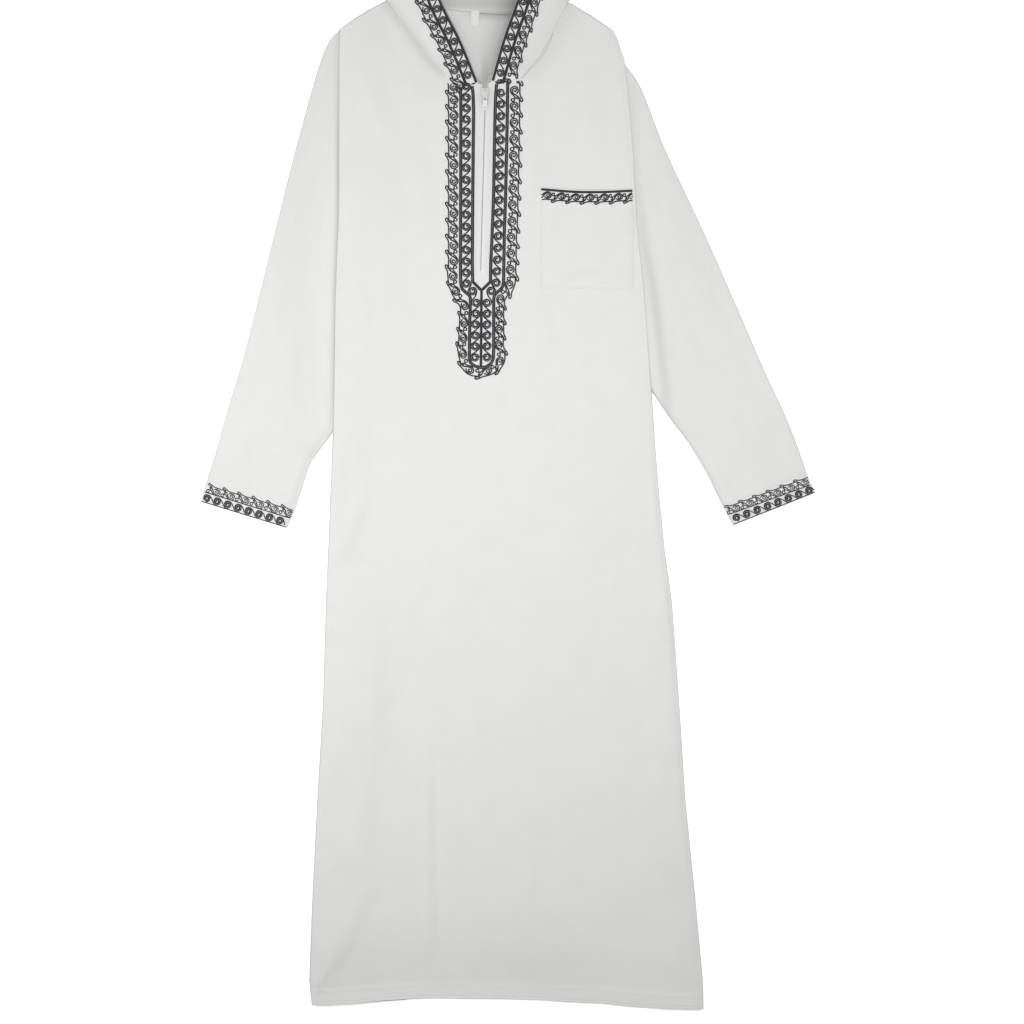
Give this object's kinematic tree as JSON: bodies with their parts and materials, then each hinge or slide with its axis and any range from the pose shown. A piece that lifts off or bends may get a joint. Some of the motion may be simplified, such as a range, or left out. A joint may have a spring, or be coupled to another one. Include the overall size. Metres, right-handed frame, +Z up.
{
  "type": "hooded thobe",
  "caption": "Hooded long-sleeved thobe laid flat, face up, with a zipped neck placket, a chest patch pocket and scroll-braid trim.",
  "frame": {"origin": "on the surface that the garment lies on, under the middle of its bounding box", "axes": "+Z up off the surface, +Y from the hem to the hood, +X to the right as seen from above, which is the wearer's left"},
  "size_m": [0.861, 1.739, 0.0096],
  "materials": {
    "cloth": "matt white plain-woven cloth with a fine weave and very little sheen",
    "zip_tape": "white woven tape",
    "zip_lacquer": "off-white lacquered metal, satin",
    "label": "white satin-woven tape, blank",
    "embroidery": "charcoal embroidery thread with a soft sheen"
  },
  "bodies": {
    "garment": {"back": "cloth", "front": "cloth", "sleeve_left": "cloth", "sleeve_right": "cloth", "hood_left": "cloth", "hood_right": "cloth", "pocket": "cloth", "zip_tape_left": "zip_tape", "zip_tape_right": "zip_tape", "zip_slider": "zip_lacquer", "neck_tag": "label"},
    "pull_tab": {"zip_pull": "zip_lacquer"}
  },
  "joints": [
    {"name": "pull_hinge", "type": "hinge", "parent": "garment", "child": "pull_tab", "pos_m": [-0.0324, 0.40795, 0.0067], "axis": [-1, 0, 0], "range_deg": [0, 150]}
  ]
}
